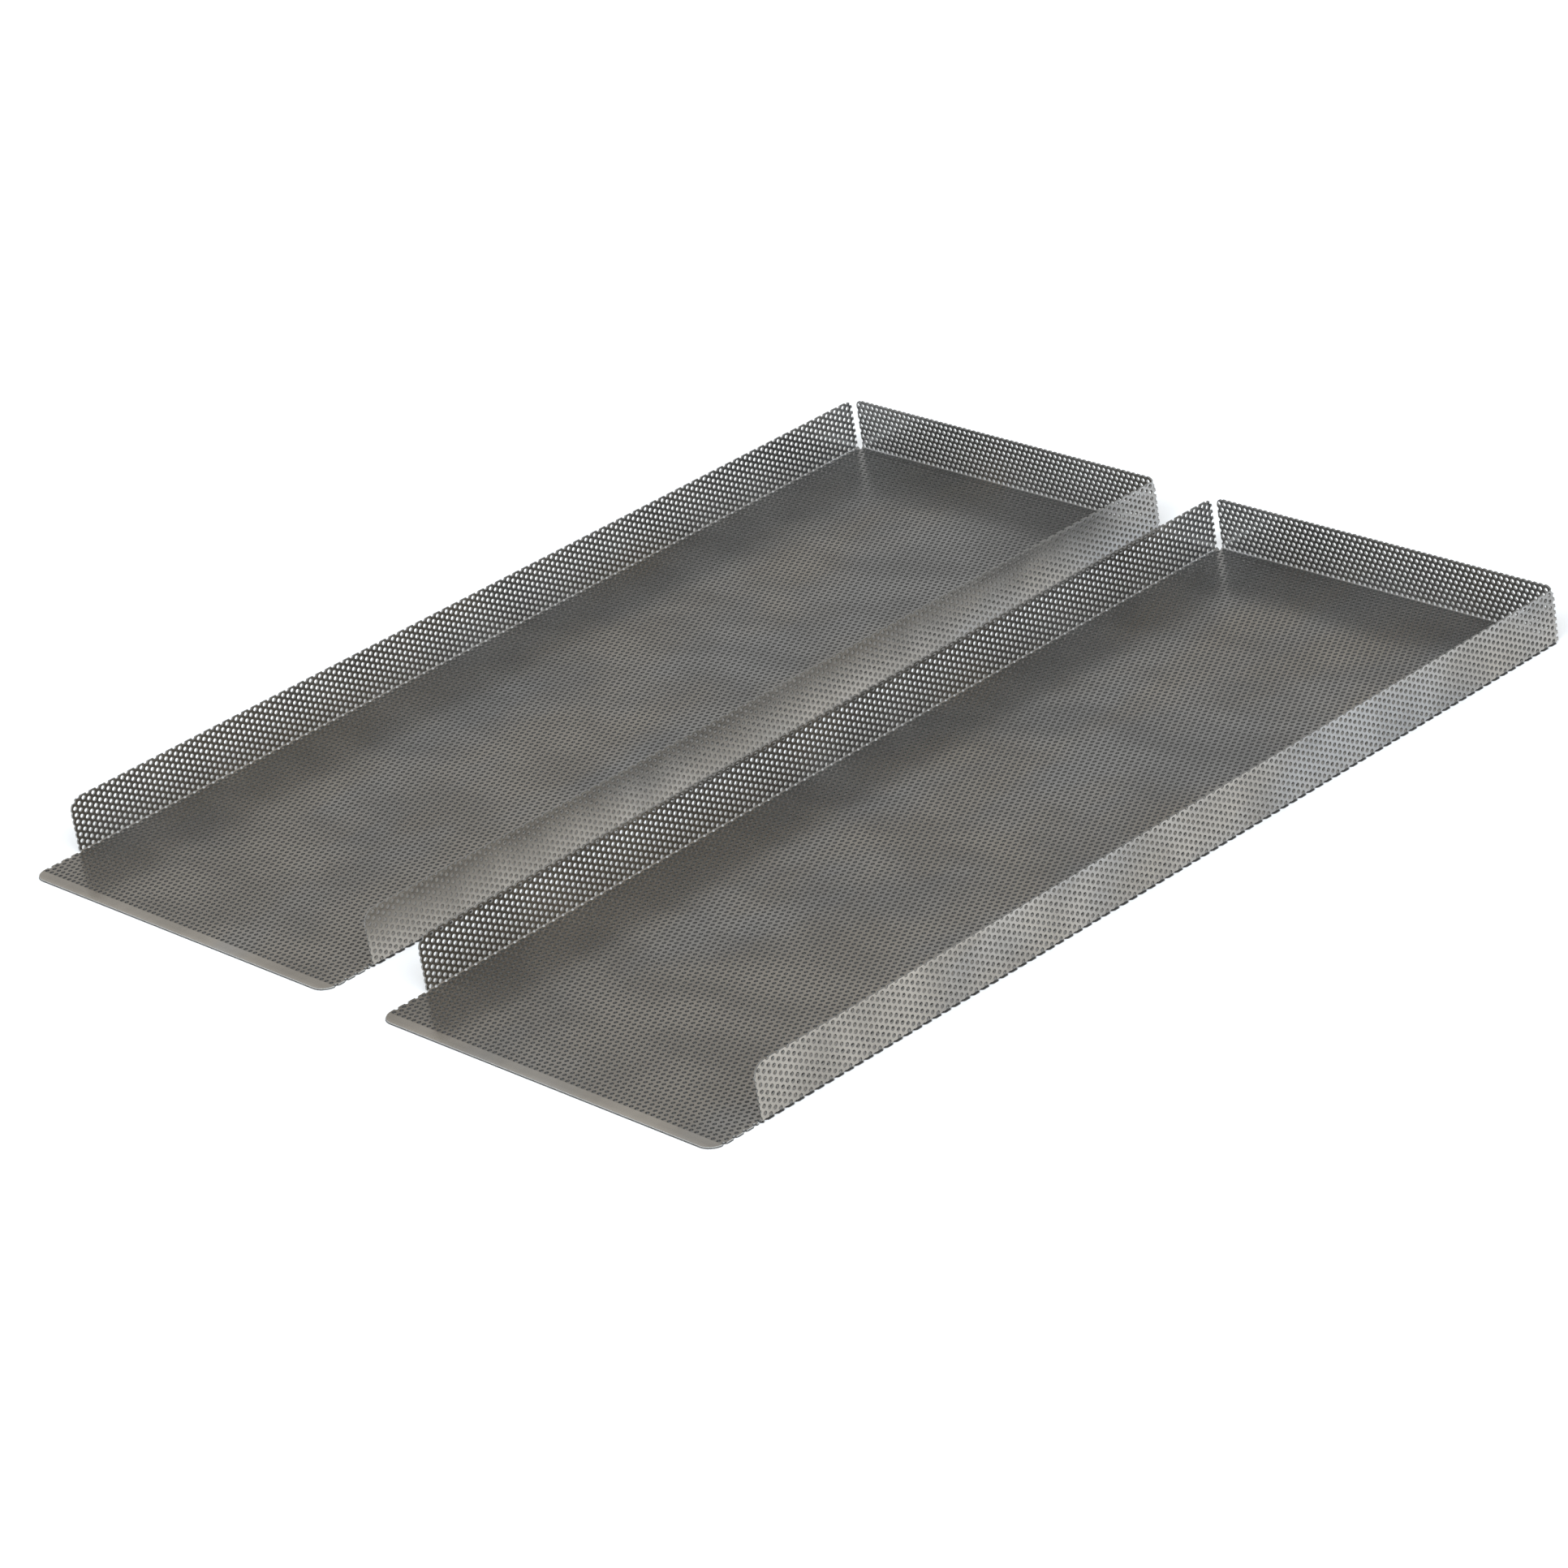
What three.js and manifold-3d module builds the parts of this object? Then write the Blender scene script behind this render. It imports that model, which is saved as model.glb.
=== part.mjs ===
// A pair of baguette trays in perforated stainless sheet, in millimetres, +Z up.
// Each tray is one sheet: a floor with two side walls and a rear wall folded up from it. The front is
// open, and there the floor runs on past the side walls and ends in a plain lip without holes.
// The sheet's rows of small round holes are left out: a panel here is the whole sheet in its outline.
// The origin is in the middle of the pair, on the surface that both trays rest on. +X is to the right
// and +Y runs from the open fronts to the rear walls.

import * as THREE from 'three';
import { mergeVertices } from 'three/addons/utils/BufferGeometryUtils.js';
import Module from 'manifold-3d';

const wasm = await Module();
wasm.setup();

// The sheet and its folds
const SHEET = 1; // thickness
const BEND_INSIDE = 1; // inside radius of a fold
const BEND_OUTSIDE = BEND_INSIDE + SHEET;
const JOINT_GAP = 0.3; // gap between the panels of one sheet

// One tray, over its outside faces
const WIDTH = 256.3;
const LENGTH = 649.1;
const HEIGHT = 32.5;

// Along a tray, from its front edge
const LIP_DEPTH = 7; // the plain lip
const LIP_CORNER_RADIUS = 9;
const WALL_SETBACK = 33.3; // front edge to the side walls
const RELIEF_CUT = 1.8; // cut in the floor's edge in front of each side wall
const REAR_CLEARANCE = 1.6; // side walls' rear ends to the rear wall

// Across a tray
const REAR_SLIT = 2.4; // open slit between a side wall and the rear wall

// Rounded top corners of the walls
const SIDE_FRONT_RADIUS = 8.5;
const SIDE_REAR_RADIUS = 4.5;
const REAR_WALL_RADIUS = 4;

// The pair
const TRAY_SPACING = 303.4; // centre line to centre line
const RIGHT_TRAY_LEAD = 3.4; // the right tray stands this much further forward

const CURVE_SEGMENTS = 12; // steps in each quarter turn

const PERFORATED_STAINLESS = { color: 0x8f8f89, roughness: 0.38, metalness: 1 };
const PLAIN_STAINLESS = { color: 0xa3a39d, roughness: 0.34, metalness: 1 };

// Extrudes a flat shape by depth; the three axes say where the shape's x, its y and the depth point.
function extrude(shape, depth, xAxis, yAxis, depthAxis) {
  const settings = { depth, bevelEnabled: false, curveSegments: CURVE_SEGMENTS };
  const geometry = new THREE.ExtrudeGeometry(shape, settings);
  return geometry.applyMatrix4(new THREE.Matrix4().makeBasis(xAxis, yAxis, depthAxis));
}

const X = new THREE.Vector3(1, 0, 0);
const Y = new THREE.Vector3(0, 1, 0);
const Z = new THREE.Vector3(0, 0, 1);

// Keeps what two closed geometries have in common.
function intersect(first, second) {
  const mesh = toManifold(first).intersect(toManifold(second)).getMesh();
  const geometry = new THREE.BufferGeometry();
  geometry.setAttribute('position', new THREE.BufferAttribute(mesh.vertProperties, mesh.numProp));
  geometry.setIndex(new THREE.BufferAttribute(mesh.triVerts, 1));
  return geometry;
}

function toManifold(geometry) {
  const bare = geometry.clone();
  bare.deleteAttribute('normal');
  bare.deleteAttribute('uv');
  const merged = mergeVertices(bare);
  const vertProperties = new Float32Array(merged.attributes.position.array);
  const triVerts = new Uint32Array(merged.index.array);
  return new wasm.Manifold(new wasm.Mesh({ numProp: 3, vertProperties, triVerts }));
}

function panel(name, geometry, finish) {
  const mesh = new THREE.Mesh(geometry, new THREE.MeshStandardMaterial(finish));
  mesh.name = name;
  return mesh;
}

// The fold and the upright part of a wall, as seen along the wall: the outside face is on the line
// where the shape's y is zero, and the foot of the fold points towards positive y.
function foldedSection() {
  const shape = new THREE.Shape();
  shape.moveTo(0, BEND_OUTSIDE);
  shape.absarc(BEND_OUTSIDE, BEND_OUTSIDE, BEND_OUTSIDE, Math.PI, 1.5 * Math.PI, false);
  shape.lineTo(HEIGHT, 0);
  shape.lineTo(HEIGHT, SHEET);
  shape.lineTo(BEND_OUTSIDE, SHEET);
  shape.absarc(BEND_OUTSIDE, BEND_OUTSIDE, BEND_INSIDE, 1.5 * Math.PI, Math.PI, true);
  shape.closePath();
  return shape;
}

// The face of a wall, with its two top corners rounded.
function wallOutline(length, startRadius, endRadius) {
  const shape = new THREE.Shape();
  shape.moveTo(0, 0);
  shape.lineTo(length, 0);
  shape.absarc(length - endRadius, HEIGHT - endRadius, endRadius, 0, 0.5 * Math.PI, false);
  shape.absarc(startRadius, HEIGHT - startRadius, startRadius, 0.5 * Math.PI, Math.PI, false);
  shape.closePath();
  return shape;
}

// A wall in its own frame: it runs along +X from the origin, its outside face is the plane y = 0,
// and its fold ends BEND_OUTSIDE further in, level with the floor.
function wallGeometry(length, startRadius, endRadius) {
  const bar = extrude(foldedSection(), length, Z, Y, X.clone().negate());
  bar.translate(length, 0, 0);
  const face = extrude(wallOutline(length, startRadius, endRadius), BEND_OUTSIDE, X, Z, Y.clone().negate());
  face.translate(0, BEND_OUTSIDE, 0);
  return intersect(bar, face);
}

// The perforated floor: full width in front of the side walls, and between the folds beside them.
function floorGeometry() {
  const halfFront = WIDTH / 2 - SHEET / 2;
  const halfInside = WIDTH / 2 - BEND_OUTSIDE - JOINT_GAP;
  const front = LIP_DEPTH + JOINT_GAP;
  const shoulder = WALL_SETBACK - RELIEF_CUT;
  const rear = LENGTH - BEND_OUTSIDE - JOINT_GAP;
  const shape = new THREE.Shape();
  shape.moveTo(-halfFront, front);
  shape.lineTo(halfFront, front);
  shape.lineTo(halfFront, shoulder);
  shape.lineTo(halfInside, shoulder);
  shape.lineTo(halfInside, rear);
  shape.lineTo(-halfInside, rear);
  shape.lineTo(-halfInside, shoulder);
  shape.lineTo(-halfFront, shoulder);
  shape.closePath();
  return extrude(shape, SHEET, X, Y, Z);
}

// The plain strip at the front edge. Its corner arcs end where the perforated floor begins.
function lipGeometry() {
  const half = WIDTH / 2 - SHEET / 2;
  const radius = LIP_CORNER_RADIUS;
  const endAngle = Math.asin((radius - LIP_DEPTH) / radius);
  const shape = new THREE.Shape();
  shape.absarc(radius - half, radius, radius, Math.PI + endAngle, 1.5 * Math.PI, false);
  shape.absarc(half - radius, radius, radius, 1.5 * Math.PI, 2 * Math.PI - endAngle, false);
  shape.closePath();
  return extrude(shape, SHEET, X, Y, Z);
}

function floor(tray) {
  return panel(`${tray}_floor`, floorGeometry(), PERFORATED_STAINLESS);
}

function frontLip(tray) {
  return panel(`${tray}_front_lip`, lipGeometry(), PLAIN_STAINLESS);
}

const SIDE_WALL_REAR = LENGTH - SHEET - REAR_CLEARANCE;
const SIDE_WALL_LENGTH = SIDE_WALL_REAR - WALL_SETBACK;

function leftWall(tray) {
  const geometry = wallGeometry(SIDE_WALL_LENGTH, SIDE_REAR_RADIUS, SIDE_FRONT_RADIUS);
  const mesh = panel(`${tray}_left_wall`, geometry, PERFORATED_STAINLESS);
  mesh.rotation.z = -0.5 * Math.PI;
  mesh.position.set(-WIDTH / 2, SIDE_WALL_REAR, 0);
  return mesh;
}

function rightWall(tray) {
  const geometry = wallGeometry(SIDE_WALL_LENGTH, SIDE_FRONT_RADIUS, SIDE_REAR_RADIUS);
  const mesh = panel(`${tray}_right_wall`, geometry, PERFORATED_STAINLESS);
  mesh.rotation.z = 0.5 * Math.PI;
  mesh.position.set(WIDTH / 2, WALL_SETBACK, 0);
  return mesh;
}

function rearWall(tray) {
  const length = WIDTH - 2 * (SHEET + REAR_SLIT);
  const geometry = wallGeometry(length, REAR_WALL_RADIUS, REAR_WALL_RADIUS);
  const mesh = panel(`${tray}_rear_wall`, geometry, PERFORATED_STAINLESS);
  mesh.rotation.z = Math.PI;
  mesh.position.set(length / 2, LENGTH, 0);
  return mesh;
}

// One whole tray. Its group's origin is on its centre line, at the front edge of its lip.
function tray(name, x, frontEdge) {
  const group = new THREE.Group();
  group.add(floor(name), frontLip(name), leftWall(name), rightWall(name), rearWall(name));
  group.position.set(x, frontEdge, 0);
  return group;
}

const pairFront = -(LENGTH + RIGHT_TRAY_LEAD) / 2;
const pair = new THREE.Group();
pair.add(tray('left_tray', -TRAY_SPACING / 2, pairFront + RIGHT_TRAY_LEAD));
pair.add(tray('right_tray', TRAY_SPACING / 2, pairFront));

export default pair;
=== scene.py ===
"""A pair of perforated stainless baguette trays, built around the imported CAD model.

Each tray is one folded sheet with thousands of round holes. The sheet is made flat first, as a
lattice of small convex faces between 12-sided holes, clipped to each panel's outline and given its
thickness. Then it is folded up where the CAD walls stand. In the flat sheet, "across" runs from the
top edge of the left wall over the floor to the top edge of the right wall, and "along" runs from the
front lip to the top edge of the rear wall. Lengths are in millimetres until a mesh is made.
"""

import math
from types import SimpleNamespace
from typing import NamedTuple

import bpy
import numpy as np
from mathutils import Matrix, Vector


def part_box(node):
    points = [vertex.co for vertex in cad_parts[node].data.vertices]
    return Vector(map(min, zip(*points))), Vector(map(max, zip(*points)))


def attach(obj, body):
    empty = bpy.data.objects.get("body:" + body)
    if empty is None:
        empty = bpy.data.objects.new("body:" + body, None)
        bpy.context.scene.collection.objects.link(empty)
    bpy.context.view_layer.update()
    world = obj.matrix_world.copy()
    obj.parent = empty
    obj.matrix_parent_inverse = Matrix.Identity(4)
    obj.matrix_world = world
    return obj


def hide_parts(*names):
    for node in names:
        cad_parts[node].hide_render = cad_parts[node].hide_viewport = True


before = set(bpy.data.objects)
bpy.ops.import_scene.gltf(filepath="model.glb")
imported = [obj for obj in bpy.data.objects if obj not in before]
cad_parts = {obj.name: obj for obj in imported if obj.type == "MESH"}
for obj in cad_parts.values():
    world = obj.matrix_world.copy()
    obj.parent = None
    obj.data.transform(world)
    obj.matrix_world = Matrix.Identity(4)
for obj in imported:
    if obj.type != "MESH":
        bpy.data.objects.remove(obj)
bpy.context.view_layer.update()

MM = 0.001

# The punched sheet
PITCH = 4.0
HOLE_RADIUS = 1.25
SHEET = 1.0  # its thickness
COLUMN = PITCH * math.sqrt(3) / 2  # distance between hole columns, along the tray
FIRST_COLUMN = 2.9  # the first whole column's centres, behind the side walls' front ends
HALF_SIDE = 15  # half of one of a hole's 12 sides, in degrees round its centre

# The folds, at the middle of the sheet
BEND_RADIUS = 1.5
BEND_OUTSIDE = BEND_RADIUS + SHEET / 2
BEND_LENGTH = BEND_RADIUS * math.pi / 2
BEND_STEPS = 6

# Outlines
RELIEF_CUT = 1.8  # from a side wall's front end to the floor's full-width front part
FREE_EDGE_TRIM = 0.2  # from the walls' middle planes in to that part's side edges
SIDE_FRONT_RADIUS = 8.5
SIDE_REAR_RADIUS = 4.5
REAR_WALL_RADIUS = 4.0
LIP_RADIUS = 9.0
CORNER_STEPS = 8
FLOOR_SECTIONS = 4
SHARP_ANGLE = math.radians(40)  # edges bent further than this stay crisp
CUT_EDGE_SLOT = 1  # each piece's material slot for its cut edges; slot 0 is for its two faces

# How close, in the flat sheet, places count as one
TOUCHING = 1e-6
ON_A_LINE = 1e-7
SMALLEST_DOUBLE_AREA = 2e-6
WELD_STEP = 1e-4
WELD_SHIFT = 0.37  # keeps round values away from the limits between two steps


# ---------------------------------------------------------------- the flat sheet


def rim_point(centres, degrees):
    angle = math.radians(degrees)
    return centres + HOLE_RADIUS * np.array([math.cos(angle), math.sin(angle)])


def neighbour(centres, degrees):
    angle = math.radians(degrees)
    return centres + PITCH * np.array([math.cos(angle), math.sin(angle)])


def web_faces(centres, heading):
    """The straight web between each hole and its neighbour in one direction."""
    there = neighbour(centres, heading)
    corners = [
        rim_point(centres, heading - HALF_SIDE),
        rim_point(there, heading + 180 + HALF_SIDE),
        rim_point(there, heading + 180 - HALF_SIDE),
        rim_point(centres, heading + HALF_SIDE),
    ]
    return np.stack(corners, axis=1)


def island_faces(centres, heading):
    """The six-sided face between each hole and the two neighbours at heading and 60 degrees on."""
    second = neighbour(centres, heading)
    third = neighbour(centres, heading + 60)
    corners = [
        rim_point(centres, heading + HALF_SIDE),
        rim_point(second, heading + 180 - HALF_SIDE),
        rim_point(second, heading + 120 + HALF_SIDE),
        rim_point(third, heading + 300 - HALF_SIDE),
        rim_point(third, heading + 240 + HALF_SIDE),
        rim_point(centres, heading + 60 - HALF_SIDE),
    ]
    return np.stack(corners, axis=1)


def hole_centres(low, high, origin):
    """The centres of all holes in a box of the flat sheet, and of one ring of holes round it."""
    first_row = math.floor((low[0] - origin[0]) / PITCH) - 2
    last_row = math.ceil((high[0] - origin[0]) / PITCH) + 2
    first_column = math.floor((low[1] - origin[1]) / COLUMN) - 1
    last_column = math.ceil((high[1] - origin[1]) / COLUMN) + 1
    rows = np.arange(first_row, last_row + 1)
    columns = np.arange(first_column, last_column + 1)
    column, row = np.meshgrid(columns, rows)
    across = origin[0] + PITCH * (row + 0.5 * (column % 2 == 0))
    along = origin[1] + COLUMN * column
    return np.stack([across, along], axis=-1).reshape(-1, 2)


def clip(corners, normal, offset):
    """The part of a convex polygon where normal . point is at most offset."""
    heights = [float(np.dot(normal, c)) - offset for c in corners]
    heights = [0.0 if abs(h) < ON_A_LINE else h for h in heights]
    kept = []
    for i, here in enumerate(corners):
        following = (i + 1) % len(corners)
        if heights[i] <= 0:
            kept.append(here)
        if heights[i] * heights[following] < 0:
            share = heights[i] / (heights[i] - heights[following])
            kept.append(here + share * (corners[following] - here))
    return kept


def has_area(corners):
    if len(corners) < 3:
        return False
    x, y = np.array(corners).T
    double_area = abs(np.dot(x, np.roll(y, -1)) - np.dot(y, np.roll(x, -1)))
    return double_area > SMALLEST_DOUBLE_AREA


def clip_to_outline(faces, outline):
    """Keeps the faces inside a convex outline whole and cuts those that cross it."""
    kept = []
    for group in faces:
        heights = np.stack([group @ normal - offset for normal, offset in outline])
        inside = (heights <= ON_A_LINE).all(axis=(0, 2))
        outside = (heights >= -ON_A_LINE).all(axis=2).any(axis=0)
        kept.extend(list(group[inside]))
        for corners in group[~inside & ~outside]:
            corners = list(corners)
            for normal, offset in outline:
                corners = clip(corners, normal, offset)
            if has_area(corners):
                kept.append(np.array(corners))
    return kept


def cut_across(faces, axis, place):
    """Divides every face that crosses a line, so that the sheet can bend there."""
    normal = np.eye(2)[axis]
    cut = []
    for corners in faces:
        values = corners[:, axis]
        if values.min() > place - TOUCHING or values.max() < place + TOUCHING:
            cut.append(corners)
            continue
        cut.append(np.array(clip(list(corners), normal, place)))
        cut.append(np.array(clip(list(corners), -normal, -place)))
    return cut


def straight_sides(low, high):
    """A rectangle's four sides, each as an outward normal and its offset."""
    return [
        (np.array([-1.0, 0.0]), -low[0]),
        (np.array([1.0, 0.0]), high[0]),
        (np.array([0.0, -1.0]), -low[1]),
        (np.array([0.0, 1.0]), high[1]),
    ]


def rounded_corner(corner, inward, radius):
    """The sides of a rounded corner, where inward says which way the panel lies from it."""
    inward = np.array(inward, float)
    centre = np.array(corner) + radius * inward
    sides = []
    for step in range(CORNER_STEPS):
        angle = (step + 0.5) / CORNER_STEPS * math.pi / 2
        normal = -inward * np.array([math.cos(angle), math.sin(angle)])
        reach = radius * math.cos(math.pi / 4 / CORNER_STEPS)
        sides.append((normal, float(normal @ centre) + reach))
    return sides


# ---------------------------------------------------------------- from flat sheet to closed mesh


def weld(faces):
    """Merges corners that meet, and returns the points, every corner's point and the face sizes."""
    corners = np.concatenate(faces)
    sizes = np.array([len(f) for f in faces])
    keys = np.round(corners / WELD_STEP + WELD_SHIFT).astype(np.int64)
    _, first, index = np.unique(keys, axis=0, return_index=True, return_inverse=True)
    return corners[first], index.reshape(-1), sizes


def without_doubles(index, sizes):
    """Drops corners that welding has merged with the one before them in the same face."""
    loops, lengths = [], []
    start = 0
    for size in sizes:
        face = index[start : start + size]
        start += size
        face = face[face != np.roll(face, 1)]
        if len(face) >= 3:
            loops.append(face)
            lengths.append(len(face))
    return np.concatenate(loops), np.array(lengths)


def open_edges(index, sizes):
    """The edges with a face on one side only: hole rims and outlines, as pairs of points."""
    ends = np.cumsum(sizes)
    following = np.arange(len(index)) + 1
    following[ends - 1] = ends - sizes
    a, b = index, index[following]
    span = int(index.max()) + 1
    key = np.minimum(a, b) * span + np.maximum(a, b)
    _, inverse, count = np.unique(key, return_inverse=True, return_counts=True)
    single = count[inverse.reshape(-1)] == 1
    return a[single], b[single]


def keep_flat_places(mesh, points, origin):
    """Stores where each point lies in the flat sheet, in millimetres, and its depth in the sheet."""
    flat = np.zeros((2 * len(points), 3))
    flat[:, :2] = np.concatenate([points, points]) - origin
    flat[len(points) :, 2] = SHEET
    layer = mesh.attributes.new("flat_place", "FLOAT_VECTOR", "POINT")
    layer.data.foreach_set("vector", flat.ravel())


def closed_faces(index, sizes, count):
    """The faces above, the same faces below and the cut edges between, as corners and face sizes.

    There are count points above, and the point under each one comes count points after it."""
    starts = np.cumsum(sizes) - sizes
    # The faces below have each face's own corners in the opposite order.
    within = np.arange(len(index)) - np.repeat(starts, sizes)
    backwards = np.repeat(starts + sizes - 1, sizes) - within
    a, b = open_edges(index, sizes)
    edges = np.stack([a, a + count, b + count, b], axis=1).reshape(-1)
    all_index = np.concatenate([index, index[backwards] + count, edges])
    all_sizes = np.concatenate([sizes, sizes, np.full(len(a), 4)])
    return all_index, all_sizes


def solid_mesh(name, faces, place, origin):
    """A closed sheet of even thickness. place(points, height) puts flat points into the tray."""
    points, index, sizes = weld(faces)
    index, sizes = without_doubles(index, sizes)
    used, index = np.unique(index, return_inverse=True)
    points = points[used]
    all_index, all_sizes = closed_faces(index.reshape(-1), sizes, len(points))
    upper = place(points, SHEET / 2)
    lower = place(points, -SHEET / 2)
    mesh = bpy.data.meshes.new(name)
    mesh.vertices.add(2 * len(points))
    mesh.vertices.foreach_set("co", (np.concatenate([upper, lower]) * MM).ravel())
    mesh.loops.add(len(all_index))
    mesh.loops.foreach_set("vertex_index", all_index.astype(np.int32))
    mesh.polygons.add(len(all_sizes))
    mesh.polygons.foreach_set("loop_start", (np.cumsum(all_sizes) - all_sizes).astype(np.int32))
    slots = np.zeros(len(all_sizes), np.int32)
    slots[2 * len(sizes) :] = CUT_EDGE_SLOT
    mesh.polygons.foreach_set("material_index", slots)
    mesh.update(calc_edges=True)
    mesh.set_sharp_from_angle(angle=SHARP_ANGLE)
    keep_flat_places(mesh, points, origin)
    return mesh


# ---------------------------------------------------------------- one tray's places


def tray_plan(tray):
    """The tray's driving lengths, from the CAD nodes' boxes."""
    left_low, left_high = (np.array(v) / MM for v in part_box(f"{tray}_left_wall"))
    _, right_high = (np.array(v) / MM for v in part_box(f"{tray}_right_wall"))
    rear_low, rear_high = (np.array(v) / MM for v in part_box(f"{tray}_rear_wall"))
    lip_low, lip_high = (np.array(v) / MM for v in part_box(f"{tray}_front_lip"))
    plan = SimpleNamespace()
    plan.middle_left = left_low[0] + SHEET / 2
    plan.middle_right = right_high[0] - SHEET / 2
    plan.height = left_high[2]
    plan.upright = plan.height - BEND_OUTSIDE
    plan.fold_end = plan.upright + BEND_LENGTH
    plan.floor_width = plan.middle_right - plan.middle_left - 2 * BEND_RADIUS
    plan.width = 2 * plan.fold_end + plan.floor_width
    plan.edge = plan.fold_end - BEND_RADIUS  # under the walls' middle planes
    plan.free_edge = plan.edge + FREE_EDGE_TRIM
    plan.wall_front = left_low[1]
    plan.wall_rear = left_high[1]
    plan.lip_front = lip_low[1]
    plan.lip_rear = lip_high[1]
    plan.rear_fold = rear_high[1] - BEND_OUTSIDE
    plan.rear_top = plan.rear_fold + BEND_LENGTH + plan.upright
    plan.rear_left = plan.edge + rear_low[0] - plan.middle_left
    plan.rear_right = plan.edge + rear_high[0] - plan.middle_left
    plan.origin = (0.0, plan.wall_front + FIRST_COLUMN)
    return plan


def fold_place(plan, distance, height):
    """Where a point of a folded-up wall lies: inward from the wall's middle plane, and up.

    distance is measured down the wall from its top edge, and on round the fold into the floor."""
    upright = np.clip(plan.upright - distance, 0, None)
    bend = np.clip(distance - plan.upright, 0, BEND_LENGTH)
    flat = np.clip(distance - plan.fold_end, 0, None)
    angle = bend / BEND_RADIUS
    radius = BEND_RADIUS - height
    inward = BEND_RADIUS - radius * np.cos(angle) + flat
    up = BEND_OUTSIDE - radius * np.sin(angle) + upright
    return inward, up


def left_wall_place(plan):
    def place(points, height):
        inward, up = fold_place(plan, points[:, 0], height)
        return np.stack([plan.middle_left + inward, points[:, 1], up], axis=1)

    return place


def right_wall_place(plan):
    def place(points, height):
        inward, up = fold_place(plan, plan.width - points[:, 0], height)
        return np.stack([plan.middle_right - inward, points[:, 1], up], axis=1)

    return place


def rear_wall_place(plan):
    def place(points, height):
        inward, up = fold_place(plan, plan.rear_top - points[:, 1], height)
        across = plan.middle_left + points[:, 0] - plan.edge
        return np.stack([across, plan.rear_fold + BEND_RADIUS - inward, up], axis=1)

    return place


def floor_place(plan):
    def place(points, height):
        across = plan.middle_left + points[:, 0] - plan.edge
        up = np.full(len(points), SHEET / 2 + height)
        return np.stack([across, points[:, 1], up], axis=1)

    return place


# ---------------------------------------------------------------- panels


def punched_faces(plan, low, high, extra_sides=()):
    """The punched sheet's faces in a box of the flat sheet, cut to any further sides."""
    centres = hole_centres(low, high, plan.origin)
    faces = [web_faces(centres, heading) for heading in (0, 60, 120)]
    faces += [island_faces(centres, heading) for heading in (0, 60)]
    return clip_to_outline(faces, [*straight_sides(low, high), *extra_sides])


def bend_lines(start, end):
    return [start + (end - start) * step / BEND_STEPS for step in range(BEND_STEPS + 1)]


def left_wall(plan):
    low = (0.0, plan.wall_front)
    high = (plan.fold_end, plan.wall_rear)
    corners = rounded_corner((0, plan.wall_front), (1, 1), SIDE_FRONT_RADIUS)
    corners += rounded_corner((0, plan.wall_rear), (1, -1), SIDE_REAR_RADIUS)
    faces = punched_faces(plan, low, high, corners)
    for place in bend_lines(plan.upright, plan.fold_end):
        faces = cut_across(faces, 0, place)
    return faces


def right_wall(plan):
    low = (plan.width - plan.fold_end, plan.wall_front)
    high = (plan.width, plan.wall_rear)
    corners = rounded_corner((plan.width, plan.wall_front), (-1, 1), SIDE_FRONT_RADIUS)
    corners += rounded_corner((plan.width, plan.wall_rear), (-1, -1), SIDE_REAR_RADIUS)
    faces = punched_faces(plan, low, high, corners)
    for place in bend_lines(plan.width - plan.upright, plan.width - plan.fold_end):
        faces = cut_across(faces, 0, place)
    return faces


def rear_wall(plan):
    low = (plan.rear_left, plan.wall_rear)
    high = (plan.rear_right, plan.rear_top)
    corners = rounded_corner((plan.rear_left, plan.rear_top), (1, -1), REAR_WALL_RADIUS)
    corners += rounded_corner((plan.rear_right, plan.rear_top), (-1, -1), REAR_WALL_RADIUS)
    faces = punched_faces(plan, low, high, corners)
    for place in bend_lines(plan.rear_fold, plan.rear_fold + BEND_LENGTH):
        faces = cut_across(faces, 1, place)
    return faces


def floor_section(plan, number):
    front = plan.wall_front - RELIEF_CUT
    step = (plan.wall_rear - front) / FLOOR_SECTIONS
    low = (plan.fold_end, front + number * step)
    high = (plan.width - plan.fold_end, front + (number + 1) * step)
    return punched_faces(plan, low, high)


def floor_front(plan):
    low = (plan.free_edge, plan.lip_rear)
    high = (plan.width - plan.free_edge, plan.wall_front - RELIEF_CUT)
    return punched_faces(plan, low, high, lip_corners(plan))


def lip_corners(plan):
    left = rounded_corner((plan.free_edge, plan.lip_front), (1, 1), LIP_RADIUS)
    right = rounded_corner((plan.width - plan.free_edge, plan.lip_front), (-1, 1), LIP_RADIUS)
    return left + right


def front_lip(plan):
    low = (plan.free_edge, plan.lip_front)
    high = (plan.width - plan.free_edge, plan.lip_rear)
    whole = [np.array(c) for c in (low, (high[0], low[1]), high, (low[0], high[1]))]
    for normal, offset in lip_corners(plan):
        whole = clip(whole, normal, offset)
    return [np.array(whole)]


def add_piece(name, faces, place, origin, body, node, materials):
    mesh = solid_mesh(name, faces, place, origin)
    for material in materials:
        mesh.materials.append(material)
    piece = bpy.data.objects.new(name, mesh)
    bpy.context.scene.collection.objects.link(piece)
    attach(piece, body)
    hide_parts(node)
    return piece


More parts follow.
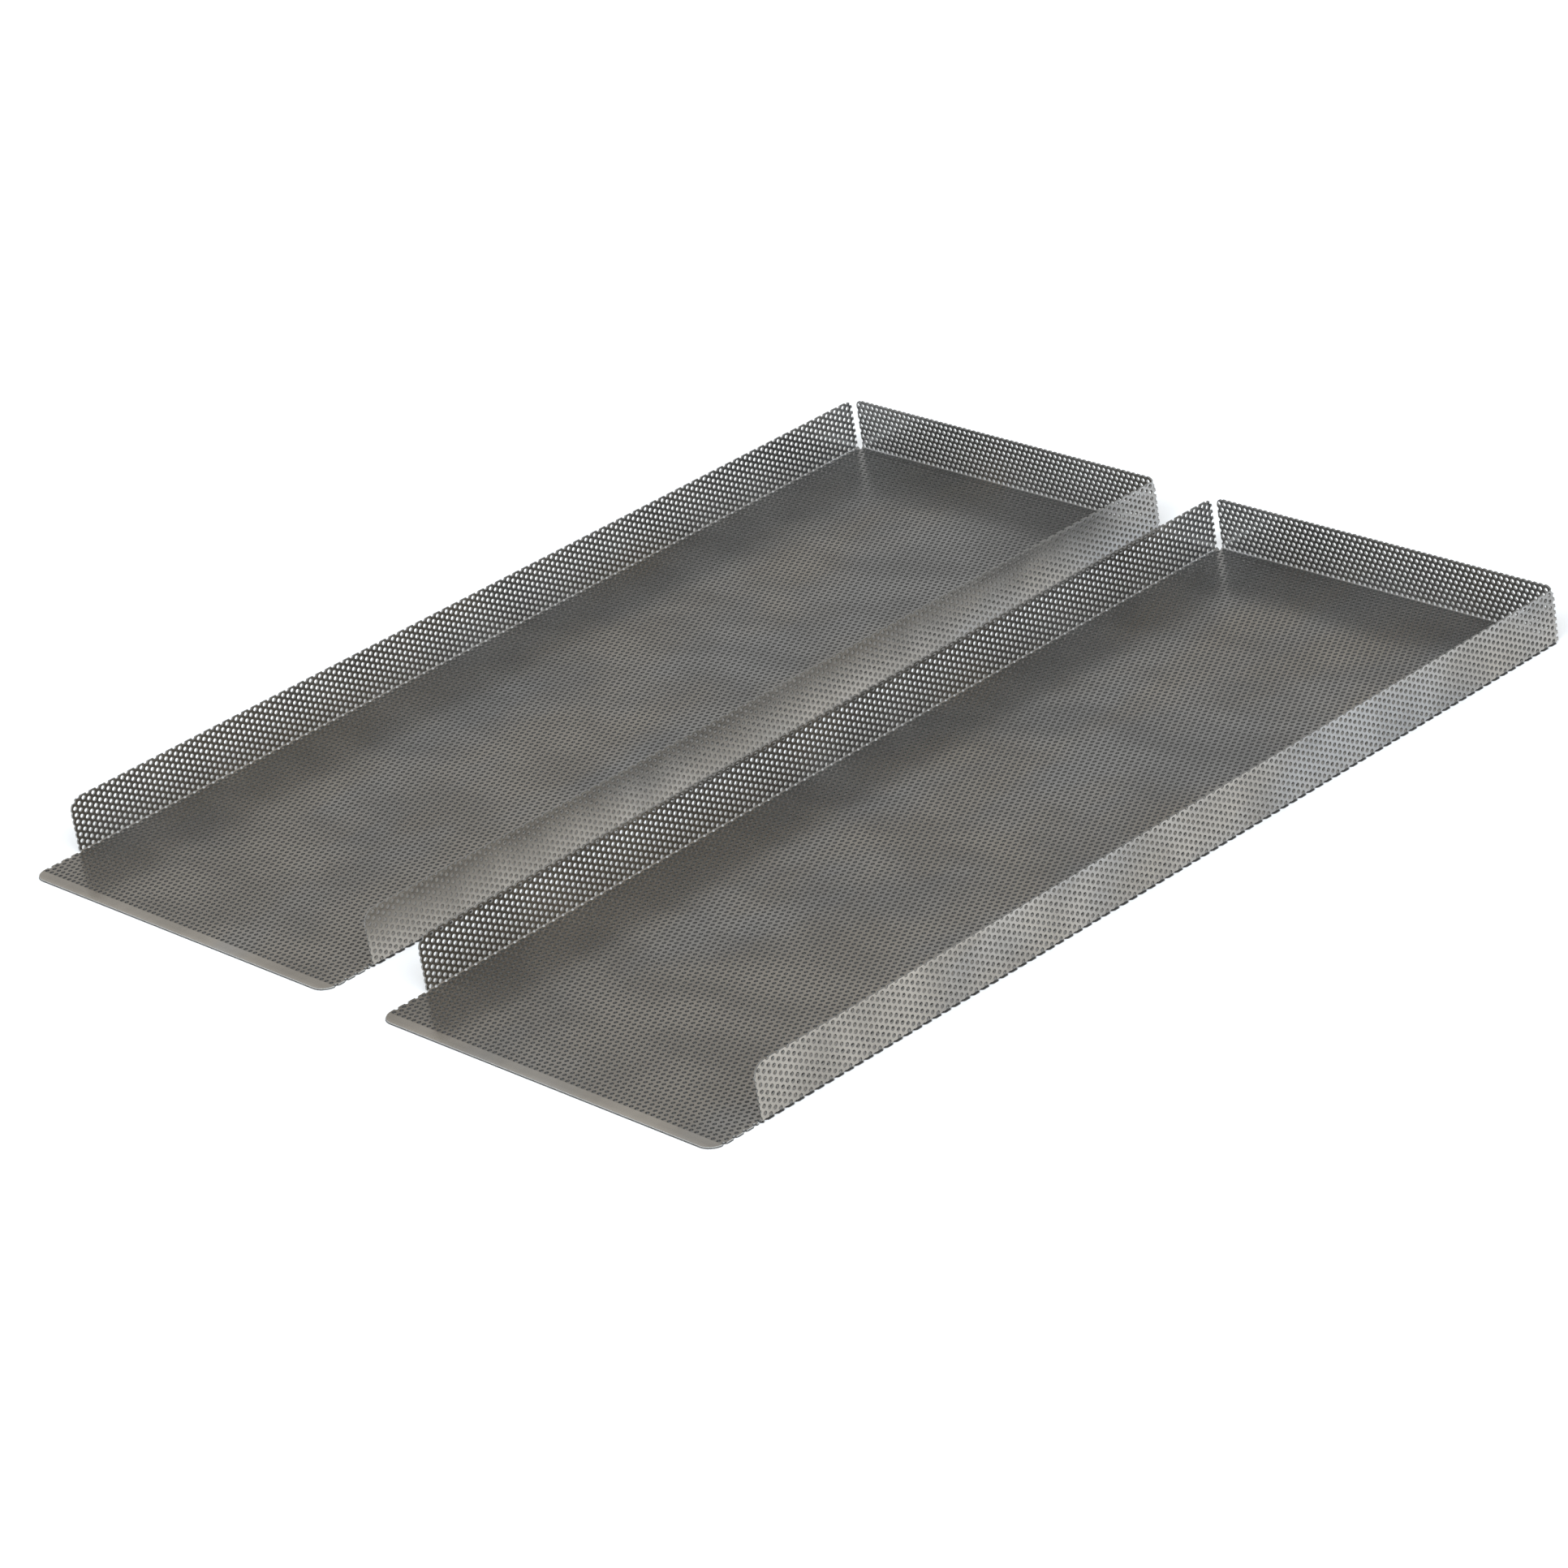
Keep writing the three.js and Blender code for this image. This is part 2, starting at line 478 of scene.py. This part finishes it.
def add_tray(tray, coil_place):
    plan = tray_plan(tray)
    sheet = rolled_steel(f"{tray}_perforated_sheet", plan, coil_place)
    plain = rolled_steel(f"{tray}_plain_sheet", plan, coil_place, punched=False, lightness=LIP_LIGHTNESS)
    edge = cut_steel(f"{tray}_cut_edge", coil_place)
    panels = [
        ("left_wall_sheet", left_wall(plan), left_wall_place(plan), "left_wall"),
        ("right_wall_sheet", right_wall(plan), right_wall_place(plan), "right_wall"),
        ("rear_wall_sheet", rear_wall(plan), rear_wall_place(plan), "rear_wall"),
        ("floor_sheet_front", floor_front(plan), floor_place(plan), "floor"),
    ]
    for number in range(FLOOR_SECTIONS):
        faces = floor_section(plan, number)
        panels.append((f"floor_sheet_{number + 1}", faces, floor_place(plan), "floor"))
    for name, faces, place, node in panels:
        piece = add_piece(
            f"{tray}_{name}", faces, place, plan.origin, tray, f"{tray}_{node}", [sheet, edge]
        )
    lip = add_piece(
        f"{tray}_lip_sheet",
        front_lip(plan),
        floor_place(plan),
        plan.origin,
        tray,
        f"{tray}_front_lip",
        [plain, edge],
    )


# ---------------------------------------------------------------- materials


# Reflected colours
WARM_STEEL = (0.398, 0.37, 0.332)
COOL_STEEL = (0.37, 0.368, 0.366)
CUT_STEEL = (0.52, 0.515, 0.5)
TORN_STEEL = (0.28, 0.276, 0.267)

# How large the grains of each pattern are across, along and through the sheet
GRAIN_SIZE = (0.35, 14.0, 1.0)
SCRATCH_SIZE = (1.1, 60.0, 1.0)
WARMTH_SIZE = (85.0, 150.0, 1.0)
BAND_SIZE = (70.0, 38.0, 1.0)
SMUDGE_SIZE = (9.0, 13.0, 1.0)
DRAG_LINE_SIZE = (0.25, 0.25, 4.0)
TORN_GRAIN_SIZE = (0.12, 0.12, 0.12)

# The noise at which each pattern starts, and at which it is full
SCRATCH_RANGE = (0.69, 0.74)
WARMTH_RANGE = (0.22, 0.52)
BAND_RANGE = (0.3, 0.7)
SMUDGE_RANGE = (0.35, 0.75)
WARMTH_FALL = -0.0004  # the sheet is warmer in tone towards the open front, per millimetre

RUBBED_HIGHLIGHT_WIDTH = (0.4, 3.5)  # how far in from an outer edge the rubbing and its painted highlight are full, and where they end
RIM_WIDTH = 0.3
BURNISHED_DEPTH = (0.35, 0.6)  # how deep the cut stays smooth, and where it is all torn
TORN_WANDER = 0.3  # how far the drag lines shift the line between them


class Finish(NamedTuple):
    """A plain surface's values, or how far a mark at its fullest changes them."""

    lightness: float = 0.0
    roughness: float = 0.0
    height: float = 0.0  # in millimetres


PLAIN_SHEET = Finish(lightness=0.78, roughness=0.13)
LIP_LIGHTNESS = 1.3  # the plain lip is lighter than the punched sheet, this many times
GRAIN = Finish(lightness=0.16, roughness=0.12, height=0.0012)
SCRATCHES = Finish(lightness=0.12, height=-0.002)
BANDS = Finish(lightness=0.22, height=0.12)
SMUDGES = Finish(lightness=-0.07, roughness=0.05)
# Rubbed outer edges: the added roughness is wear, and the lighter colour is a painted highlight along
# the edges
RUBBING_AND_HIGHLIGHT = Finish(lightness=0.15, roughness=0.08)
# Rims drawn down round the holes: the dip is a bump, and the darker colour on them is painted shade
RIM_DIP_AND_PAINTED_SHADE = Finish(lightness=-0.12, roughness=0.08, height=-0.02)

PLAIN_CUT = Finish(roughness=0.22)
DRAG_LINES = Finish(height=0.004)
TORN_PART = Finish(roughness=0.2)
TORN_GRAIN = Finish(roughness=0.15)
TEARS = Finish(height=0.01)

# The Mix node's sockets for its two colours, and for the mixed one
FIRST_COLOUR, SECOND_COLOUR, MIXED_COLOUR = 6, 7, 2


class Nodes:
    """Adds nodes to a tree and joins them. A value is a number, a vector, a colour or an output."""

    def __init__(self, tree):
        self.tree = tree

    def feed(self, socket, value):
        if isinstance(value, bpy.types.NodeSocket):
            self.tree.links.new(value, socket)
        elif socket.type == "RGBA":
            socket.default_value = (*value, 1)
        else:
            socket.default_value = value

    def math(self, operation, *values):
        node = self.tree.nodes.new("ShaderNodeMath")
        node.operation = operation
        for socket, value in zip(node.inputs, values):
            self.feed(socket, value)
        return node.outputs[0]

    def vector(self, operation, *values):
        node = self.tree.nodes.new("ShaderNodeVectorMath")
        node.operation = operation
        for socket, value in zip(node.inputs, values):
            self.feed(socket, value)
        return node.outputs["Value" if operation in ("LENGTH", "DOT_PRODUCT") else "Vector"]

    def scale(self, colour, factor):
        node = self.tree.nodes.new("ShaderNodeVectorMath")
        node.operation = "SCALE"
        self.feed(node.inputs[0], colour)
        self.feed(node.inputs["Scale"], factor)
        return node.outputs["Vector"]

    def split(self, place):
        """A place's three numbers. In the flat sheet they are across, along and depth."""
        node = self.tree.nodes.new("ShaderNodeSeparateXYZ")
        self.feed(node.inputs[0], place)
        return node.outputs["X"], node.outputs["Y"], node.outputs["Z"]

    def ramp(self, value, low, high, start=0.0, end=1.0):
        """Runs smoothly from start to end while value runs from low to high."""
        node = self.tree.nodes.new("ShaderNodeMapRange")
        node.interpolation_type = "SMOOTHSTEP"
        for name, number in (("From Min", low), ("From Max", high), ("To Min", start), ("To Max", end)):
            node.inputs[name].default_value = number
        self.feed(node.inputs["Value"], value)
        return node.outputs["Result"]

    def noise(self, place, sizes, detail=2.0, roughness=0.5):
        """Noise from 0 to 1 over a place in millimetres, with grains of the given sizes."""
        scaled = self.vector("DIVIDE", place, sizes)
        node = self.tree.nodes.new("ShaderNodeTexNoise")
        node.inputs["Scale"].default_value = 1.0
        node.inputs["Detail"].default_value = detail
        node.inputs["Roughness"].default_value = roughness
        self.feed(node.inputs["Vector"], scaled)
        return node.outputs["Fac"]

    def mix(self, share, first, second):
        node = self.tree.nodes.new("ShaderNodeMix")
        node.data_type = "RGBA"
        self.feed(node.inputs[0], share)
        self.feed(node.inputs[FIRST_COLOUR], first)
        self.feed(node.inputs[SECOND_COLOUR], second)
        return node.outputs[MIXED_COLOUR]

    def with_marks(self, plain, marks):
        """A plain value, changed by the amount of each mark as far as its pattern shows there."""
        value = plain
        for pattern, amount in marks:
            if amount:
                value = self.math("MULTIPLY_ADD", pattern, amount, value)
        return value


class Surface(Nodes):
    """A new material's nodes, with the shader that they lead to."""

    def __init__(self, name):
        self.material = bpy.data.materials.new(name)
        self.material.use_nodes = True
        super().__init__(self.material.node_tree)
        self.shader = self.tree.nodes["Principled BSDF"]

    def flat_place(self):
        node = self.tree.nodes.new("ShaderNodeAttribute")
        node.attribute_name = "flat_place"
        return node.outputs["Vector"]

    def bump(self, millimetres):
        node = self.tree.nodes.new("ShaderNodeBump")
        node.inputs["Distance"].default_value = MM
        self.feed(node.inputs["Height"], millimetres)
        self.feed(self.shader.inputs["Normal"], node.outputs["Normal"])

    def metal(self, colour, roughness, height):
        self.feed(self.shader.inputs["Base Color"], colour)
        self.feed(self.shader.inputs["Roughness"], roughness)
        self.shader.inputs["Metallic"].default_value = 1.0
        self.bump(height)


def hole_distance(nodes, place):
    """How far a place in the flat sheet lies from the nearest hole's centre."""
    flat = nodes.vector("MULTIPLY", place, (1, 1, 0))
    half_cell = (PITCH / 2, COLUMN, 1)
    opposite = (-PITCH / 2, -COLUMN, -1)
    distances = []
    for shift in ((PITCH / 2, 0, 0), (0, COLUMN, 0)):
        shifted = nodes.vector("ADD", flat, shift)
        distances.append(nodes.vector("LENGTH", nodes.vector("WRAP", shifted, half_cell, opposite)))
    return nodes.math("MINIMUM", *distances)


def outer_edge_distance(nodes, place, plan):
    """How far a place lies from the walls' top edges and the lip's front edge, in the flat sheet."""
    across, along, _ = nodes.split(place)
    from_right = nodes.math("SUBTRACT", plan.width, across)
    from_rear = nodes.math("SUBTRACT", plan.rear_top - plan.origin[1], along)
    from_front = nodes.math("SUBTRACT", along, plan.lip_front - plan.origin[1])
    sides = nodes.math("MINIMUM", across, from_right)
    ends = nodes.math("MINIMUM", from_rear, from_front)
    return nodes.math("MINIMUM", sides, ends)


def rolled_steel(name, plan, coil_place, punched=True, lightness=1.0):
    """Rolled stainless sheet: fine grain along the tray, hairline scratches, soft warm and cool
    patches, warmer at the front, rubbed outer edges with a painted highlight along them, and rims
    drawn down a little round the holes, with painted shade on them."""
    nodes = Surface(name)
    place = nodes.flat_place()
    coil = nodes.vector("ADD", place, coil_place)
    grain = nodes.noise(coil, GRAIN_SIZE, detail=3.0, roughness=0.65)
    scratches = nodes.ramp(nodes.noise(coil, SCRATCH_SIZE), *SCRATCH_RANGE)
    bands = nodes.ramp(nodes.noise(coil, BAND_SIZE, detail=1.0), *BAND_RANGE)
    smudges = nodes.noise(coil, SMUDGE_SIZE, detail=4.0, roughness=0.6)
    smudges = nodes.ramp(smudges, *SMUDGE_RANGE)
    # Painted highlight: lighter colour along the walls' top edges and the lip's front edge, with rubbing
    # wear that roughens them
    rubbing_and_highlight = nodes.ramp(outer_edge_distance(nodes, place, plan), *RUBBED_HIGHLIGHT_WIDTH, start=1.0, end=0.0)
    marks = [
        (bands, BANDS),
        (grain, GRAIN),
        (smudges, SMUDGES),
        (scratches, SCRATCHES),
        (rubbing_and_highlight, RUBBING_AND_HIGHLIGHT),
    ]
    if punched:
        # Painted shade: the colour darkens on the rim round each hole, where it is drawn down
        rim_end = HOLE_RADIUS + RIM_WIDTH
        rim_dip_and_shade = nodes.ramp(hole_distance(nodes, place), HOLE_RADIUS, rim_end, start=1.0, end=0.0)
        marks.append((rim_dip_and_shade, RIM_DIP_AND_PAINTED_SHADE))
    shade = nodes.with_marks(PLAIN_SHEET.lightness, [(p, mark.lightness) for p, mark in marks])
    shade = nodes.math("MULTIPLY", shade, lightness)
    roughness = nodes.with_marks(PLAIN_SHEET.roughness, [(p, mark.roughness) for p, mark in marks])
    height = nodes.with_marks(PLAIN_SHEET.height, [(p, mark.height) for p, mark in marks])

    _, along, _ = nodes.split(place)
    warmth = nodes.noise(coil, WARMTH_SIZE, detail=3.0)
    warmth = nodes.math("MULTIPLY_ADD", along, WARMTH_FALL, warmth)
    tone = nodes.mix(nodes.ramp(warmth, *WARMTH_RANGE), COOL_STEEL, WARM_STEEL)
    nodes.metal(nodes.scale(tone, shade), roughness, height)
    return nodes.material


def cut_steel(name, coil_place):
    """A punched or sheared edge: smooth where the tool cut first, dark and torn below."""
    nodes = Surface(name)
    place = nodes.flat_place()
    coil = nodes.vector("ADD", place, coil_place)
    drag_lines = nodes.noise(coil, DRAG_LINE_SIZE)
    torn_grain = nodes.noise(coil, TORN_GRAIN_SIZE)
    _, _, depth = nodes.split(place)
    depth = nodes.math("MULTIPLY_ADD", drag_lines, TORN_WANDER, depth)
    torn = nodes.ramp(depth, *BURNISHED_DEPTH)
    tears = nodes.math("MULTIPLY", torn_grain, torn)
    marks = [
        (drag_lines, DRAG_LINES),
        (torn_grain, TORN_GRAIN),
        (torn, TORN_PART),
        (tears, TEARS),
    ]
    roughness = nodes.with_marks(PLAIN_CUT.roughness, [(p, mark.roughness) for p, mark in marks])
    height = nodes.with_marks(PLAIN_CUT.height, [(p, mark.height) for p, mark in marks])
    nodes.metal(nodes.mix(torn, CUT_STEEL, TORN_STEEL), roughness, height)
    return nodes.material


# ---------------------------------------------------------------- the studio


STAGE_REACH = 30.0  # from the middle of the floor to each of its sides, in metres
OPEN_GROUND = (0.92, 0.92, 0.92)
# The colour of the painted shade, where something lies close over the ground
PAINTED_SHADE_GROUND = (0.09, 0.088, 0.085)
GROUND_ROUGHNESS = 0.8
COVER_REACH = 0.0015  # how close over the ground something covers it, in metres
COVER_SAMPLES = 16
PAINTED_SHADE_RANGE = (0.62, 0.78)  # how open the ground is where the painted shade is darkest, and where it is pale again

# Brightness of the studio by height above the horizon, as (sine of the height, brightness).
FRONT_LIGHT = [(0.0, 0.4), (0.45, 0.45), (0.58, 6.6), (0.72, 6.6), (0.88, 1.0)]
FRONT_TINT = (0.93, 0.985, 1.04)
REAR_LIGHT = [(0.0, 0.42), (0.25, 0.49), (0.55, 0.55), (0.85, 0.65), (1.0, 0.8)]
REAR_TINT = (1.0, 1.0, 0.985)
REAR_AZIMUTH = 50.0  # the middle of the dim side, in degrees from +Y towards -X
FRONT_TO_REAR = (-0.6, -0.2)  # cosines from the rear azimuth, between which the front gives way
LIGHTEST = 8.0  # the world's strength, which its colours are shares of


def pale_floor():
    """Pale where it is open, with deep shade painted into its colour where something lies close over it.
    """
    nodes = Surface("studio_floor")
    cover = nodes.tree.nodes.new("ShaderNodeAmbientOcclusion")
    cover.samples = COVER_SAMPLES
    cover.inputs["Distance"].default_value = COVER_REACH
    unshaded_share = nodes.ramp(cover.outputs["AO"], *PAINTED_SHADE_RANGE)
    # Painted shade: the ground's colour turns dark where something lies close over it, standing in for
    # its shadow
    colour = nodes.mix(unshaded_share, PAINTED_SHADE_GROUND, OPEN_GROUND)
    nodes.feed(nodes.shader.inputs["Base Color"], colour)
    nodes.shader.inputs["Roughness"].default_value = GROUND_ROUGHNESS
    return nodes.material


def add_stage():
    corners = [
        (-STAGE_REACH, -STAGE_REACH, 0),
        (STAGE_REACH, -STAGE_REACH, 0),
        (STAGE_REACH, STAGE_REACH, 0),
        (-STAGE_REACH, STAGE_REACH, 0),
    ]
    mesh = bpy.data.meshes.new("studio_floor")
    mesh.from_pydata(corners, [], [(0, 1, 2, 3)])
    mesh.materials.append(pale_floor())
    floor = bpy.data.objects.new("studio_floor", mesh)
    bpy.context.scene.collection.objects.link(floor)


def brightness(nodes, height, stops, tint):
    """The tinted brightness at a height, as a share of LIGHTEST."""
    node = nodes.tree.nodes.new("ShaderNodeValToRGB")
    node.color_ramp.interpolation = "EASE"
    elements = node.color_ramp.elements
    while len(elements) < len(stops):
        elements.new(0.5)
    for element, (place, level) in zip(elements, stops):
        element.position = place
        element.color = (*[level / LIGHTEST * channel for channel in tint], 1)
    nodes.feed(node.inputs["Fac"], height)
    return node.outputs["Color"]


def add_world():
    """A soft studio: one large light half way up in front, an even dim glow everywhere else."""
    world = bpy.data.worlds.new("studio")
    bpy.context.scene.world = world
    world.use_nodes = True
    nodes = Nodes(world.node_tree)
    direction = nodes.tree.nodes.new("ShaderNodeTexCoord").outputs["Generated"]
    _, _, height = nodes.split(direction)
    azimuth = math.radians(REAR_AZIMUTH)
    rear = (-math.sin(azimuth), math.cos(azimuth), 0)
    rear_share = nodes.ramp(nodes.vector("DOT_PRODUCT", direction, rear), *FRONT_TO_REAR)
    front_light = brightness(nodes, height, FRONT_LIGHT, FRONT_TINT)
    rear_light = brightness(nodes, height, REAR_LIGHT, REAR_TINT)
    background = nodes.tree.nodes["Background"]
    background.inputs["Strength"].default_value = LIGHTEST
    nodes.feed(background.inputs["Color"], nodes.mix(rear_share, front_light, rear_light))
    bpy.context.scene.view_settings.view_transform = "Standard"


# The camera: its angles in degrees, its aim and distance in metres, its lens in millimetres
CAMERA_AIM = Vector((0.0167, -0.0249, 0.0))
CAMERA_AZIMUTH = 50.18
CAMERA_ELEVATION = 25.85
CAMERA_ROLL = -9.27
CAMERA_DISTANCE = 3.2732
CAMERA_LENS = 137.2
CAMERA_SENSOR = 36.0


def add_camera():
    azimuth = math.radians(CAMERA_AZIMUTH)
    elevation = math.radians(CAMERA_ELEVATION)
    back = Vector((
        math.sin(azimuth) * math.cos(elevation),
        -math.cos(azimuth) * math.cos(elevation),
        math.sin(elevation),
    ))
    data = bpy.data.cameras.new("camera")
    data.lens = CAMERA_LENS
    data.sensor_width = CAMERA_SENSOR
    camera = bpy.data.objects.new("camera", data)
    bpy.context.scene.collection.objects.link(camera)
    level = (-back).to_track_quat("-Z", "Y").to_matrix().to_4x4()
    roll = Matrix.Rotation(math.radians(CAMERA_ROLL), 4, "Z")
    camera.matrix_world = Matrix.Translation(CAMERA_AIM + CAMERA_DISTANCE * back) @ level @ roll
    bpy.context.scene.camera = camera


add_camera()
add_stage()
add_world()
# Both trays' sheets come from one coil, cut at different places.
add_tray("left_tray", coil_place=(0, 0, 0))
add_tray("right_tray", coil_place=(430, 900, 0))
